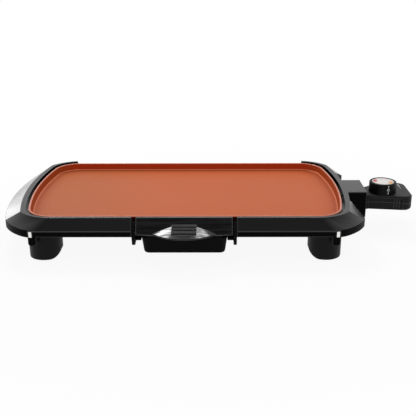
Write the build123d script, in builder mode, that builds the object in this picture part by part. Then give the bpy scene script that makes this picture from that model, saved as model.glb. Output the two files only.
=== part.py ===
from build123d import *
import os
from math import atan2, degrees, radians, sqrt, tan

os.makedirs("parts", exist_ok=True)

# Cooking plate
PLATE_LENGTH = 524.0     # over the bowed ends
PLATE_DEPTH = 287.0      # front to back over the rim
PLATE_BOW = 18.0         # how far each end bows out past its corners
PLATE_CORNER = 44.0
PLATE_FORWARD = 4.0      # the plate sits this far forward in its frame
RIM_HEIGHT = 73.0        # rim above the table
RIM_WIDTH = 3.2
RIM_ROUND = 1.4
PAN_DEPTH = 13.0
FLOOR_THICK = 4.5
WALL_LEAN = 14.0         # degrees from upright
PAN_ROUND = 4.0          # round between floor and wall
DRAIN_LENGTH = 44.0
DRAIN_WIDTH = 9.0
DRAIN_SETBACK = 14.0     # from the foot of the front wall to the slot

# Frame round the plate
END_GAP = 5.0            # open gap between rim and frame at the ends
FRONT_GAP = 1.5
RIDGE_END = 8.5          # flat top of the frame at the ends
RIDGE_FRONT = 4.5
SKIRT_END = 28.0         # how far the slope runs out at the ends
SKIRT_FRONT = 13.5
SLOPE_DROP = 17.0
BAND_HEIGHT = 11.5
BAND_SETBACK = 3.0       # front and back bands stand back under the slope's edge
BAND_LIP = 2.0           # height of that edge
SLOT_WIDTH = 6.0         # openings for clips at the ends of both bands
SLOT_OUT = 1.0           # past the end of the straight front
CLIP_THICK = 1.0
CLIP_WIDTH = 5.0         # part of a clip that shows in its slot
CLIP_LENGTH = 12.0       # part that runs back along the slot's wall
CLIP_SETBACK = 2.0       # behind the skirt's front
CLIP_BEND = 1.0
FRAME_WALL = 2.5
FRAME_CORNER = 46.0      # corner of the opening
RIDGE_BOW = 14.5
RIDGE_ALONG = 45.0       # corner of the flat top, measured along the front
RIDGE_BACK = 27.5        # and along the end
RIDGE_BULGE = 5.5
SKIRT_BOW = 15.5
CORNER_ALONG = 47.0      # skirt corner, measured along the front
CORNER_BACK = 48.0       # skirt corner, measured along the end
CORNER_BULGE = 6.0
KINK_ROUND = 45.0        # where the straight front ends
TIP_ROUND = 3.0          # where the bowed ends start
LEAST_ROUND = 0.4        # inside a wall that takes up the whole rounding
EDGE_ROUND = 1.2
REAR_LOW_HALF = 217.0    # the back of the frame is low between these
REAR_DROP = 14.0
WING_RIBS = 3            # stiffening ribs under each half of a wing
RIB_THICK = 2.0
GUSSET_LENGTH = 89.0     # corner plates that carry the plate and the feet
GUSSET_DEPTH = 57.0
GUSSET_THICK = 3.0
LUG_INSET = 4.6          # lugs below the band, from the end of the straight front
LUG_WIDTH = 13.0
LUG_DROP = 15.0
LUG_ROUND = 5.0

# Socket hood on the right end
HOOD_HALF = 35.0
HOOD_REACH = 31.5        # past the ridge
HOOD_HEIGHT = 45.0
HOOD_ROUND = 3.0
NOTCH_ROOT = 77.0        # where the wing starts again, from the socket's axis
NOTCH_RUN = 68.0
NOTCH_BULGE = 4.0
NOTCH_OUT = 10.0
WINDOW_HALF = 25.0
WINDOW_HEIGHT = 24.0

# Feet
FOOT_INSET_X = 17.6      # from the end of the straight front
FOOT_INSET_Y = 39.0      # from the front of the skirt
FOOT_RADIUS = 26.6
FOOT_WALL = 3.0
FOOT_INNER_ROUND = 17.0
FOOT_OUTER_ROUND = 4.0
PAD_RADIUS = 9.0
PAD_THICK = 2.5
PAD_SHOWS = 1.5
POST_RADIUS = 6.0

# Screws
SCREW_RADIUS = 2.0
SCREW_HEAD_RADIUS = 4.0
SCREW_HEAD = 2.6
SCREW_GRIP = 8.0         # length held in the second piece
SCREW_FREE = 0.25        # clearance round a shank
SCREW_TIP = 1.0          # room past a screw's tip
SMALL_SCREW_RADIUS = 1.4
SMALL_HEAD_RADIUS = 2.6
SMALL_HEAD = 1.8
DRIVE_LENGTH = 3.6       # cross recess in a screw's head
DRIVE_WIDTH = 0.9
DRIVE_DEPTH = 1.2
FIT = 0.05               # clearance between pieces that seat in each other

# Heating element, socket and pins
PLUG_DROP = 24.0         # axis of pins, sensing rod and element, below the rim
PIN_SPACING = 26.0
PIN_RADIUS = 2.5
PIN_REACH = 44.0         # past the socket block
ELEMENT_RADIUS = 4.0
ELEMENT_HALF_Y = 80.0
ELEMENT_END_GAP = 70.0   # from the loop's closed end to the plate's left end
ELEMENT_FAN = 62.0       # where the two legs draw together
ELEMENT_BEND = 25.0
ELEMENT_LOOP_BEND = 60.0
ELEMENT_SPREAD = 45.0    # length of the slanted runs
ELEMENT_RIB = 14.0       # width of the cast rib that holds the element
RIB_COVER = 2.0          # how far the rib stops above the element's underside
BLOCK_LENGTH = 46.0
BLOCK_HALF = 22.0
BLOCK_HEIGHT = 16.0
BLOCK_INSET = 6.0        # from the plate's right end
BUSH_RADIUS = 5.5
BUSH_SEAT = 12.0         # length of bush inside the block
BUSH_SHOWS = 6.0
BOSS_RADIUS = 7.0
BOSS_INSET_X = 75.0      # plate screws, from the opening's ends
BOSS_INSET_Y = 43.0

# Drip tray, its front and its guide
GAP_HALF = 82.0          # cut-out in the front of the frame
GUIDE_WEB = 5.0
GUIDE_RECESS = 4.0       # the web stands back from the frame's face
GUIDE_TOP_DROP = 7.0
TAB_DEPTH = 15.5         # tabs below the band
TAB_LENGTH = 20.0
TAB_LEAN = 5.0
LEDGE_WIDTH = 8.5
LEDGE_THICK = 2.2
LIP_THICK = 1.2
GUIDE_SCREW_OUT = 2.5    # guide screws, in front of the ridge's edge
GUIDE_SCREW_LOW = 5.5    # and above the band's lower edge
GUIDE_SCREW_HIGH = 15.5
TRAY_PLAY = 0.4          # clearance all round the tray's flange
STOP_THICK = 4.0
TRAY_LENGTH = 112.0      # front to back at the top
TRAY_HALF = 67.5         # half width at the top
TRAY_HEIGHT = 27.5
TRAY_LEAN = 8.0
TRAY_ROUND = 12.0
TRAY_WALL = 1.8
TRAY_BOTTOM_ROUND = 4.0
TRAY_FRONT_BACK = 6.5    # front wall behind the skirt
TRAY_TOP_DROP = 3.0      # flange below the band
FLANGE_THICK = 2.0
UPSTAND_HALF = 58.0
UPSTAND_HEIGHT = 16.0
FASCIA_SIDE_GAP = 2.0
FASCIA_BACK_GAP = 2.0    # between the fascia's top lip and the rim
FASCIA_WALL = 2.4
LIP_RADIUS = 66.0        # scoop lip, seen from above
CRESCENT_RADIUS = 461.0  # lower edge of the slope, seen from above
CRESCENT_REACH = 8.5     # its middle, past the skirt
LIP_REACH = 24.0         # lip past the skirt
LIP_DROP = 20.5          # top edge of the lip, below the rim
LIP_EDGE = 2.5
LIP_SLOPE = 0.37         # rise per millimetre inwards
GRIP_LENGTH = 39.0
GRIP_WIDTH = 4.2
GRIP_PITCH = 7.6
GRIP_HEIGHT = 1.8
GRIP_COUNT = 3
GRIP_INSET = 20.0        # middle rib from the lip's edge
GRIP_PAD = 2.2           # pad under the ribs
GRIP_ROUND = 2.0
FASCIA_POST = 4.5
FASCIA_POST_X = 40.0
FASCIA_SCREW_DROP = 4.8  # below the upstand's top

# Plug-in control
CASE_DROP = 10.0         # top of the case, below the rim
CASE_HEIGHT = 26.0
CASE_WALL = 2.2
CASE_REACH = 82.0        # past the hood's open end
NOSE_HALF = 21.0
NOSE_INSIDE = 21.0       # nose inside the hood
NOSE_DROP = 3.0          # nose top below the case top
CASE_FRONT = 29.0        # half width towards the front at the outer end
CASE_BACK = 48.0         # half width towards the back at the outer end
CASE_FLARE = 62.0        # length over which the front flares
CASE_SHOULDER = 38.0     # length over which the back flares
CASE_ROUND = 14.0
CASE_BLEND = 8.0
CASE_EDGE = 2.5
CASE_BOTTOM_EDGE = 5.0
RECESS_DEPTH = 4.0       # finger recess in the front
RECESS_TOP = 4.5
RECESS_LENGTH = 57.0
RECESS_START = 7.0
GRIP_RIBS = 3
GRIP_RIB_WIDTH = 1.6
GRIP_RIB_PITCH = 4.6
ROD_RADIUS = 3.0
ROD_REACH = 68.0         # past the nose
ROD_INSIDE = 26.0
WELL_FREE = 0.4
WELL_TIP = 3.0
COLLAR_RADIUS = 6.0
COLLAR_THICK = 4.0
SLEEVE_RADIUS = 4.2
SLEEVE_FREE = 0.3
SLEEVE_LENGTH = 18.0
POST_INSIDE = 3.8
CASE_POST_NEAR = 12.0    # first post, past the hood's open end
CASE_POST_IN = 9.0       # posts, in from the case's faces
GLAND_RADIUS = 6.0
GLAND_BORE = 3.8
GLAND_FLANGE = 8.0
GLAND_FLANGE_THICK = 2.0
GLAND_X = 59.0           # past the hood's open end
GLAND_INSIDE = 7.0
GLAND_SHOWS = 6.0
GLAND_EDGE = 1.5

# Thermostat inside the control
BRACKET_WIDTH = 12.0
BRACKET_THICK = 1.5
BRACKET_RISE = 1.0       # above the floor of the case
STACK_RADIUS = 4.0
STACK_HEIGHT = 4.0
BLADE_THICK = 0.8
BLADE_WIDTH = 8.0
BLADE_LENGTH = 40.0
CONTACT_RADIUS = 2.2
CONTACT_OPEN = 0.6       # between the contacts when off

# Knob
KNOB_X = 34.0            # past the hood's open end
KNOB_RADIUS = 23.4
KNOB_HEIGHT = 18.0
KNOB_TAPER = 0.8
KNOB_GAP = 0.5
KNOB_WALL = 2.5
KNOB_EDGE = 1.5
HUB_RADIUS = 6.0
DIAL_RADIUS = 18.5
DIAL_THICK = 1.0
DIAL_SUNK = 1.4
SPINDLE_RADIUS = 3.0
SPINDLE_FREE = 0.3
SPINDLE_COLLAR = 5.0
COLLAR_HEIGHT = 2.0

# Sizes that follow
plate_x = PLATE_LENGTH / 2
plate_y = PLATE_DEPTH / 2
opening_x = plate_x + END_GAP
opening_y = plate_y + PLATE_FORWARD + FRONT_GAP
ridge_x = opening_x + RIDGE_END
ridge_y = opening_y + RIDGE_FRONT
skirt_x = ridge_x + SKIRT_END
skirt_y = ridge_y + SKIRT_FRONT
band_top = RIM_HEIGHT - SLOPE_DROP
band_bottom = band_top - BAND_HEIGHT
pan_floor = RIM_HEIGHT - PAN_DEPTH
front_half = skirt_x - SKIRT_BOW - CORNER_ALONG
band_half = front_half + SLOT_OUT
slot_depth = max(BAND_SETBACK, CLIP_SETBACK + CLIP_THICK) + FRAME_WALL
hood_end = ridge_x + HOOD_REACH
hood_bottom = RIM_HEIGHT - HOOD_HEIGHT
case_end = hood_end + CASE_REACH
case_top = RIM_HEIGHT - CASE_DROP
case_bottom = case_top - CASE_HEIGHT
case_split = case_bottom + CASE_HEIGHT / 2
plug_height = RIM_HEIGHT - PLUG_DROP
lip_height = RIM_HEIGHT - LIP_DROP
front_reach = skirt_y + LIP_REACH
THROUGH = 2 * RIM_HEIGHT

# The object's origin is under the middle of its box, on the table.
centre_x = (skirt_x - case_end) / 2
centre_y = (front_reach - skirt_y) / 2


def level(height):
    """Horizontal plane at a height, centred on the frame."""
    return Plane((centre_x, centre_y, height))


def across(x):
    """Upright plane that faces right; its axes are depth and height."""
    return Plane((centre_x + x, centre_y, 0), x_dir=(0, 1, 0), z_dir=(1, 0, 0))


def facing(y):
    """Upright plane that faces the front; its axes are length and height."""
    return Plane((centre_x, centre_y + y, 0), x_dir=(1, 0, 0), z_dir=(0, -1, 0))


def bowed_outline(half_length, half_depth, bow, corner):
    """Rounded rectangle whose two ends bow outwards."""
    end_radius = (bow**2 + half_depth**2) / (2 * bow)
    end_middle = half_length - end_radius
    corner_y = half_depth - corner
    corner_x = end_middle + sqrt((end_radius - corner) ** 2 - corner_y**2)
    lean = degrees(atan2(corner_y, corner_x - end_middle))
    with BuildSketch() as outline:
        with BuildLine():
            for side in (-1, 1):
                x = -side * corner_x
                heading = 90 * side
                Line((-x, side * half_depth), (x, side * half_depth))
                CenterArc((x, side * corner_y), corner, heading, 90 - lean)
                CenterArc((-side * end_middle, 0), end_radius, heading + 90 - lean, 2 * lean)
                CenterArc((x, -side * corner_y), corner, heading + 90 + lean, 90 - lean)
        make_face()
    return outline.sketch


def opening_outline(grow):
    """The frame's opening, grown outwards by a wall."""
    return bowed_outline(opening_x + grow, opening_y + grow, PLATE_BOW, FRAME_CORNER + grow)


def kinked_outline(half_length, half_depth, bow, along, back, bulge, inset):
    """Straight front and back, bulged corners between two kinks, and bowed ends."""
    kink_x = half_length - inset - bow
    kink_y = half_depth - inset - back
    flat = kink_x - along
    deep = half_depth - inset
    with BuildSketch() as outline:
        with BuildLine():
            for side in (-1, 1):
                front = (-side * flat, side * deep)
                near = (-side * kink_x, side * kink_y)
                far = (-side * kink_x, -side * kink_y)
                rear = (-side * flat, -side * deep)
                Line((side * flat, side * deep), front)
                SagittaArc(front, near, -bulge)
                ThreePointArc(near, (side * (inset - half_length), 0), far)
                SagittaArc(far, rear, -bulge)
        make_face()
        outer = outline.vertices().sort_by(lambda corner: abs(corner.X))
        fillet(outer[4:], max(TIP_ROUND - inset, LEAST_ROUND))
        inner = outline.vertices().sort_by(lambda corner: abs(corner.X))
        fillet(inner[:4], KINK_ROUND - inset)
    return outline.sketch


def ridge_outline(inset):
    """Outer edge of the frame's flat top."""
    return kinked_outline(ridge_x, ridge_y, RIDGE_BOW, RIDGE_ALONG, RIDGE_BACK, RIDGE_BULGE, inset)


def skirt_outline(inset):
    """Outer edge of the skirt below the slope."""
    return kinked_outline(skirt_x, skirt_y, SKIRT_BOW, CORNER_ALONG, CORNER_BACK, CORNER_BULGE, inset)


def notch_outline(side):
    """Cut beside the hood where the wing stops; side is -1 at the front."""
    inner = opening_x - NOTCH_ROOT
    outer = skirt_x + NOTCH_OUT
    root = (ridge_x - FRAME_WALL, side * NOTCH_ROOT)
    tip = (outer, side * (NOTCH_ROOT + NOTCH_RUN))
    with BuildSketch() as outline:
        with BuildLine():
            Polyline((inner, side * NOTCH_ROOT), root)
            SagittaArc(root, tip, side * NOTCH_BULGE)
            Polyline(
                tip,
                (outer, side * HOOD_HALF),
                (inner, side * HOOD_HALF),
                (inner, side * NOTCH_ROOT),
            )
        make_face()
    return outline.sketch


# Base frame: the hood over the socket
with BuildPart() as hood:
    with BuildSketch(across(opening_x - END_GAP / 2)) as hood_section:
        with Locations((0, (hood_bottom + RIM_HEIGHT) / 2)):
            Rectangle(2 * HOOD_HALF, HOOD_HEIGHT)
        fillet(hood_section.vertices().group_by(Axis.Y)[-1], HOOD_ROUND)
    extrude(amount=hood_end - opening_x + END_GAP / 2)

# Base frame: the hollow under ridge and skirt, less the walls that stay in it
with BuildPart() as frame_hollow:
    with BuildSketch(level(band_top - FRAME_WALL)) as hollow_foot:
        add(skirt_outline(FRAME_WALL))
    with BuildSketch(level(RIM_HEIGHT - FRAME_WALL)):
        add(ridge_outline(FRAME_WALL))
    loft(ruled=True)
    extrude(hollow_foot.sketch, amount=-BAND_HEIGHT)
    with BuildSketch(level(0)):
        with Locations((0, -skirt_y), (0, skirt_y)):
            Rectangle(2 * band_half, 2 * (BAND_SETBACK + FRAME_WALL))
        with GridLocations(2 * band_half + FRAME_WALL, 2 * skirt_y, 2, 2):
            Rectangle(FRAME_WALL, 2 * (skirt_y - opening_y))
    extrude(amount=band_top - BAND_LIP + FRAME_WALL, mode=Mode.SUBTRACT)
    with BuildSketch(level(0)):
        add(opening_outline(FRAME_WALL))
    extrude(amount=THROUGH, mode=Mode.SUBTRACT)
    with BuildSketch(level(0)):
        with Locations((0, -skirt_y)):
            Rectangle(2 * (GAP_HALF + FRAME_WALL), skirt_y)
        with Locations((skirt_x, 0)):
            Rectangle(2 * (skirt_x - opening_x), 2 * HOOD_HALF)
    extrude(amount=THROUGH, mode=Mode.SUBTRACT)
    with BuildSketch(level(RIM_HEIGHT - REAR_DROP - FRAME_WALL)):
        with Locations((0, skirt_y)):
            Rectangle(2 * (REAR_LOW_HALF + FRAME_WALL), skirt_y)
    extrude(amount=THROUGH, mode=Mode.SUBTRACT)
    for side in (-1, 1):
        with BuildSketch(level(0)):
            add(notch_outline(side))
            offset(amount=FRAME_WALL)
        extrude(amount=THROUGH, mode=Mode.SUBTRACT)
    with BuildSketch(level(0)):
        for number in range(WING_RIBS):
            with Locations((0, (number - (WING_RIBS - 1) / 2) * skirt_y / WING_RIBS)):
                Rectangle(2 * skirt_x, RIB_THICK)
    extrude(amount=THROUGH, mode=Mode.SUBTRACT)

# Where the corner plates, feet and screws stand
foot_x = front_half - FOOT_INSET_X
foot_y = skirt_y - FOOT_INSET_Y
boss_x = opening_x - BOSS_INSET_X
boss_y = opening_y - BOSS_INSET_Y
gusset_top = band_bottom + GUSSET_THICK
lug_x = front_half - LUG_INSET
lug_middle = band_bottom + (FRAME_WALL - LUG_DROP) / 2
corners = [(1, 1), (-1, 1), (-1, -1), (1, -1)]
foot_spots = [(foot_x * x, foot_y * y) for x, y in corners]
boss_spots = [(boss_x * x, boss_y * y) for x, y in corners]
guide_screw_spots = [
    (-ridge_y - GUIDE_SCREW_OUT, band_bottom + GUIDE_SCREW_LOW),
    (-ridge_y - GUIDE_SCREW_OUT / 2, band_bottom + GUIDE_SCREW_HIGH),
]

# Base frame
with BuildPart() as base_frame:
    with BuildSketch(level(band_top)) as skirt:
        add(skirt_outline(0))
    with BuildSketch(level(RIM_HEIGHT)):
        add(ridge_outline(0))
    loft(ruled=True)
    extrude(skirt.sketch, amount=-BAND_HEIGHT)
    fillet(base_frame.faces().sort_by(Axis.Z)[-1].edges(), EDGE_ROUND)
    skirt_edges = base_frame.edges().filter_by_position(Axis.Z, band_top - FIT, band_top + FIT)
    fillet(skirt_edges, EDGE_ROUND)
    for side in (-1, 1):
        with BuildSketch(level(0)):
            add(notch_outline(side))
            add(ridge_outline(0), mode=Mode.SUBTRACT)
        extrude(amount=THROUGH, mode=Mode.SUBTRACT)
    add(frame_hollow.part, mode=Mode.SUBTRACT)
    add(hood.part)
    with BuildSketch(level(0)):
        add(opening_outline(0))
    extrude(amount=THROUGH, mode=Mode.SUBTRACT)
    with BuildSketch(across(opening_x + FRAME_WALL)):
        with Locations((0, (hood_bottom + RIM_HEIGHT) / 2)):
            Rectangle(2 * (HOOD_HALF - FRAME_WALL), HOOD_HEIGHT - 2 * FRAME_WALL)
    extrude(amount=hood_end, mode=Mode.SUBTRACT)
    with BuildSketch(across(opening_x - END_GAP)):
        with Locations((0, plug_height)):
            Rectangle(2 * WINDOW_HALF, WINDOW_HEIGHT)
    extrude(amount=2 * END_GAP, mode=Mode.SUBTRACT)
    with BuildSketch(level(0)):
        with Locations((0, -skirt_y)):
            Rectangle(2 * GAP_HALF, skirt_y)
    extrude(amount=THROUGH, mode=Mode.SUBTRACT)
    with BuildSketch(level(RIM_HEIGHT - REAR_DROP)):
        with Locations((0, skirt_y)):
            Rectangle(2 * REAR_LOW_HALF, skirt_y)
    extrude(amount=THROUGH, mode=Mode.SUBTRACT)
    with BuildSketch(level(band_bottom)):
        for x, y in corners:
            with Locations((x * (opening_x - GUSSET_LENGTH / 2), y * (opening_y - GUSSET_DEPTH / 2))):
                Rectangle(GUSSET_LENGTH + FRAME_WALL, GUSSET_DEPTH + FRAME_WALL)
        add(opening_outline(FRAME_WALL / 2), mode=Mode.INTERSECT)
    extrude(amount=GUSSET_THICK)
    for side in (-1, 1):
        with BuildSketch(facing(side * (skirt_y - BAND_SETBACK))) as lugs:
            with Locations((-lug_x, lug_middle), (lug_x, lug_middle)):
                Rectangle(LUG_WIDTH, LUG_DROP + FRAME_WALL)
            fillet(lugs.vertices().group_by(Axis.Y)[0], LUG_ROUND)
        extrude(amount=side * FRAME_WALL)
    with BuildSketch(level(band_bottom)):
        with Locations((0, -skirt_y), (0, skirt_y)):
            Rectangle(2 * band_half, 2 * BAND_SETBACK)
        with GridLocations(2 * band_half - SLOT_WIDTH, 2 * skirt_y, 2, 2):
            Rectangle(SLOT_WIDTH, 2 * slot_depth)
    extrude(amount=BAND_HEIGHT - BAND_LIP, mode=Mode.SUBTRACT)
    with BuildSketch(level(0)):
        with Locations(*foot_spots, *boss_spots):
            Circle(SCREW_RADIUS + SCREW_FREE)
    extrude(amount=THROUGH, mode=Mode.SUBTRACT)
    with BuildSketch(across(0)):
        with Locations(*guide_screw_spots):
            Circle(SMALL_SCREW_RADIUS + FIT)
    extrude(amount=GAP_HALF + 2 * FRAME_WALL, both=True, mode=Mode.SUBTRACT)
base_frame.part.label = "base_frame"
export_step(base_frame.part, "parts/base_frame.step")

# Bent clips that close the slots at the ends of both bands
clip_x = band_half - FIT - CLIP_THICK / 2
clip_y = skirt_y - CLIP_SETBACK - CLIP_THICK / 2
with BuildPart() as frame_clips:
    with BuildSketch(level(band_bottom + FIT)):
        for x, y in corners:
            with BuildLine():
                FilletPolyline(
                    (x * (clip_x - CLIP_WIDTH), y * clip_y),
                    (x * clip_x, y * clip_y),
                    (x * clip_x, y * (clip_y - CLIP_LENGTH)),
                    radius=CLIP_BEND,
                )
            trace(line_width=CLIP_THICK)
    extrude(amount=BAND_HEIGHT - BAND_LIP - 2 * FIT)
frame_clips.part.label = "frame_clips"
export_step(frame_clips.part, "parts/frame_clips.step")

# Heating element route: a loop under the plate, drawn together at the socket
block_face = plate_x - BLOCK_INSET
junction = block_face - BUSH_SEAT
pin_y = PIN_SPACING / 2
fan_x = junction - ELEMENT_FAN
loop_x = ELEMENT_END_GAP - plate_x
loop_half = [
    (junction, pin_y),
    (fan_x, pin_y),
    (fan_x - ELEMENT_SPREAD, ELEMENT_HALF_Y),
    (loop_x, ELEMENT_HALF_Y),
]
loop_points = loop_half + [(x, -y) for x, y in reversed(loop_half)]
loop_bends = [ELEMENT_BEND, ELEMENT_BEND, ELEMENT_LOOP_BEND]
loop_bends = loop_bends + loop_bends[::-1]
rod_tip = hood_end - NOSE_INSIDE - ROD_REACH
rib_bottom = plug_height - ELEMENT_RADIUS + RIB_COVER
plate_front = plate_y + PLATE_FORWARD
pan_front = plate_front - RIM_WIDTH - PAN_DEPTH * tan(radians(WALL_LEAN))


def plate_level(height):
    """Horizontal plane centred on the plate, which sits forward in the frame."""
    return Plane((centre_x, centre_y - PLATE_FORWARD, height))


with BuildLine(level(plug_height)) as loop_route:
    FilletPolyline(*loop_points, radius=loop_bends)
loop_start = Plane(loop_route.line ^ 0)

# Griddle plate
with BuildPart() as griddle_plate:
    with BuildSketch(plate_level(RIM_HEIGHT)):
        add(bowed_outline(plate_x, plate_y, PLATE_BOW, PLATE_CORNER))
    extrude(amount=-PAN_DEPTH - FLOOR_THICK, taper=WALL_LEAN)
    with BuildSketch(plate_level(RIM_HEIGHT)):
        add(bowed_outline(plate_x - RIM_WIDTH, plate_y - RIM_WIDTH, PLATE_BOW, PLATE_CORNER - RIM_WIDTH))
    extrude(amount=-PAN_DEPTH, taper=WALL_LEAN, mode=Mode.SUBTRACT)
    floor_edges = griddle_plate.edges().filter_by_position(Axis.Z, pan_floor - FIT, pan_floor + FIT)
    fillet(floor_edges, PAN_ROUND)
    fillet(griddle_plate.edges().group_by(Axis.Z)[0], FLOOR_THICK / 2)
    fillet(griddle_plate.faces().sort_by(Axis.Z)[-1].edges(), RIM_ROUND)
    with BuildSketch(level(pan_floor - FLOOR_THICK / 2)):
        with Locations(*boss_spots):
            Circle(BOSS_RADIUS)
    extrude(amount=gusset_top - pan_floor + FLOOR_THICK / 2)
    with BuildSketch(level(pan_floor - FLOOR_THICK / 2)):
        with BuildLine():
            FilletPolyline(*loop_points, radius=loop_bends)
        trace(line_width=ELEMENT_RIB)
    extrude(amount=rib_bottom - pan_floor + FLOOR_THICK / 2)
    with BuildSketch(level(pan_floor - FLOOR_THICK / 2)):
        with Locations((block_face - BLOCK_LENGTH / 2, 0)):
            Rectangle(BLOCK_LENGTH, 2 * BLOCK_HALF)
    extrude(amount=plug_height - BLOCK_HEIGHT / 2 - pan_floor + FLOOR_THICK / 2)
    with BuildSketch(loop_start):
        Circle(ELEMENT_RADIUS + FIT)
    sweep(path=loop_route.line, mode=Mode.SUBTRACT)
    with BuildSketch(across(block_face)):
        with Locations((-pin_y, plug_height), (pin_y, plug_height)):
            Circle(BUSH_RADIUS + FIT)
    extrude(amount=-BUSH_SEAT, mode=Mode.SUBTRACT)
    with BuildSketch(across(block_face)):
        with Locations((0, plug_height)):
            Circle(ROD_RADIUS + WELL_FREE)
    extrude(amount=rod_tip - WELL_TIP - block_face, mode=Mode.SUBTRACT)
    with BuildSketch(level(0)):
        with Locations((0, DRAIN_SETBACK - pan_front)):
            SlotOverall(DRAIN_LENGTH, DRAIN_WIDTH)
    extrude(amount=RIM_HEIGHT, mode=Mode.SUBTRACT)
    with BuildSketch(level(gusset_top)):
        with Locations(*boss_spots):
            Circle(SCREW_RADIUS + FIT)
    extrude(amount=SCREW_GRIP + SCREW_TIP, mode=Mode.SUBTRACT)
griddle_plate.part.label = "griddle_plate"
export_step(griddle_plate.part, "parts/griddle_plate.step")

# Heating element with its terminal pins and ceramic bushes
with BuildPart() as heating_element:
    with BuildSketch(loop_start):
        Circle(ELEMENT_RADIUS)
    sweep(path=loop_route.line)
heating_element.part.label = "heating_element"
export_step(heating_element.part, "parts/heating_element.step")

pin_spots = [(-pin_y, plug_height), (pin_y, plug_height)]
with BuildPart() as terminal_pins:
    with BuildSketch(across(junction)):
        with Locations(*pin_spots):
            Circle(PIN_RADIUS)
    extrude(amount=BUSH_SEAT + PIN_REACH)
    fillet(terminal_pins.edges().group_by(Axis.X)[-1], PIN_RADIUS / 2)
terminal_pins.part.label = "terminal_pins"
export_step(terminal_pins.part, "parts/terminal_pins.step")

with BuildPart() as terminal_bushes:
    with BuildSketch(across(junction)):
        with Locations(*pin_spots):
            Circle(BUSH_RADIUS)
            Circle(PIN_RADIUS + FIT, mode=Mode.SUBTRACT)
    extrude(amount=BUSH_SEAT + BUSH_SHOWS)
terminal_bushes.part.label = "terminal_bushes"
export_step(terminal_bushes.part, "parts/terminal_bushes.step")

# Feet: hollow round legs, rounded more on the inner lower corner
foot_middle = (-foot_x, -foot_y)
foot_height = band_bottom - PAD_SHOWS
pad_shift = (FOOT_OUTER_ROUND - FOOT_INNER_ROUND) / 2


def foot_form(inset):
    """Outer form of the front left foot, or its hollow when inset by the wall."""
    low = PAD_SHOWS + inset
    with BuildPart() as form:
        with BuildSketch(level(low)):
            with Locations(foot_middle):
                Circle(FOOT_RADIUS - inset)
        extrude(amount=band_bottom - low)
        with BuildSketch(facing(-foot_y)) as side:
            with Locations((-foot_x, (low + band_bottom) / 2)):
                Rectangle(2 * (FOOT_RADIUS - inset), band_bottom - low)
            fillet(side.vertices().group_by(Axis.Y)[0].sort_by(Axis.X)[-1], FOOT_INNER_ROUND - inset)
            fillet(side.vertices().group_by(Axis.Y)[0].sort_by(Axis.X)[0], FOOT_OUTER_ROUND - inset)
        extrude(amount=FOOT_RADIUS, both=True, mode=Mode.INTERSECT)
    return form.part


with BuildPart() as front_left_foot:
    add(foot_form(0))
    add(foot_form(FOOT_WALL), mode=Mode.SUBTRACT)
    with BuildSketch(level(PAD_SHOWS + FOOT_WALL)):
        with Locations(foot_middle):
            Circle(POST_RADIUS)
    extrude(amount=foot_height - FOOT_WALL)
    with BuildSketch(level(band_bottom)):
        with Locations(foot_middle):
            Circle(SCREW_RADIUS + FIT)
    extrude(amount=-SCREW_GRIP - SCREW_TIP, mode=Mode.SUBTRACT)
    with BuildSketch(level(PAD_SHOWS)):
        with Locations((pad_shift - foot_x, -foot_y)):
            Circle(PAD_RADIUS + FIT)
    extrude(amount=PAD_THICK - PAD_SHOWS, mode=Mode.SUBTRACT)
front_left_foot.part.label = "front_left_foot"
export_step(front_left_foot.part, "parts/front_left_foot.step")

with BuildPart() as front_right_foot:
    mirror(front_left_foot.part, about=across(0))
front_right_foot.part.label = "front_right_foot"
export_step(front_right_foot.part, "parts/front_right_foot.step")

with BuildPart() as rear_left_foot:
    mirror(front_left_foot.part, about=facing(0))
rear_left_foot.part.label = "rear_left_foot"
export_step(rear_left_foot.part, "parts/rear_left_foot.step")

with BuildPart() as rear_right_foot:
    mirror(front_right_foot.part, about=facing(0))
rear_right_foot.part.label = "rear_right_foot"
export_step(rear_right_foot.part, "parts/rear_right_foot.step")

with BuildPart() as foot_pads:
    with BuildSketch(level(0)):
        for x, y in corners:
            with Locations((x * (foot_x - pad_shift), y * foot_y)):
                Circle(PAD_RADIUS)
    extrude(amount=PAD_THICK)
foot_pads.part.label = "foot_pads"
export_step(foot_pads.part, "parts/foot_pads.step")


def cross_recess():
    """Cross recess for a screwdriver."""
    with BuildSketch() as cross:
        Rectangle(DRIVE_LENGTH, DRIVE_WIDTH)
        Rectangle(DRIVE_WIDTH, DRIVE_LENGTH)
    return cross.sketch


# Screws that hold the feet from above and the plate from below
with BuildPart() as foot_screws:
    with BuildSketch(level(gusset_top)):
        with Locations(*foot_spots):
            Circle(SCREW_HEAD_RADIUS)
    extrude(amount=SCREW_HEAD)
    fillet(foot_screws.edges().group_by(Axis.Z)[-1], SCREW_HEAD / 3)
    with BuildSketch(level(gusset_top)):
        with Locations(*foot_spots):
            Circle(SCREW_RADIUS)
    extrude(amount=-GUSSET_THICK - SCREW_GRIP)
    with BuildSketch(level(gusset_top + SCREW_HEAD)):
        with Locations(*foot_spots):
            add(cross_recess())
    extrude(amount=-DRIVE_DEPTH, mode=Mode.SUBTRACT)
foot_screws.part.label = "foot_screws"
export_step(foot_screws.part, "parts/foot_screws.step")

with BuildPart() as plate_screws:
    with BuildSketch(level(band_bottom)):
        with Locations(*boss_spots):
            Circle(SCREW_HEAD_RADIUS)
    extrude(amount=-SCREW_HEAD)
    fillet(plate_screws.edges().group_by(Axis.Z)[0], SCREW_HEAD / 3)
    with BuildSketch(level(band_bottom)):
        with Locations(*boss_spots):
            Circle(SCREW_RADIUS)
    extrude(amount=GUSSET_THICK + SCREW_GRIP)
    with BuildSketch(level(band_bottom - SCREW_HEAD)):
        with Locations(*boss_spots):
            add(cross_recess())
    extrude(amount=DRIVE_DEPTH, mode=Mode.SUBTRACT)
plate_screws.part.label = "plate_screws"
export_step(plate_screws.part, "parts/plate_screws.step")

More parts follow.
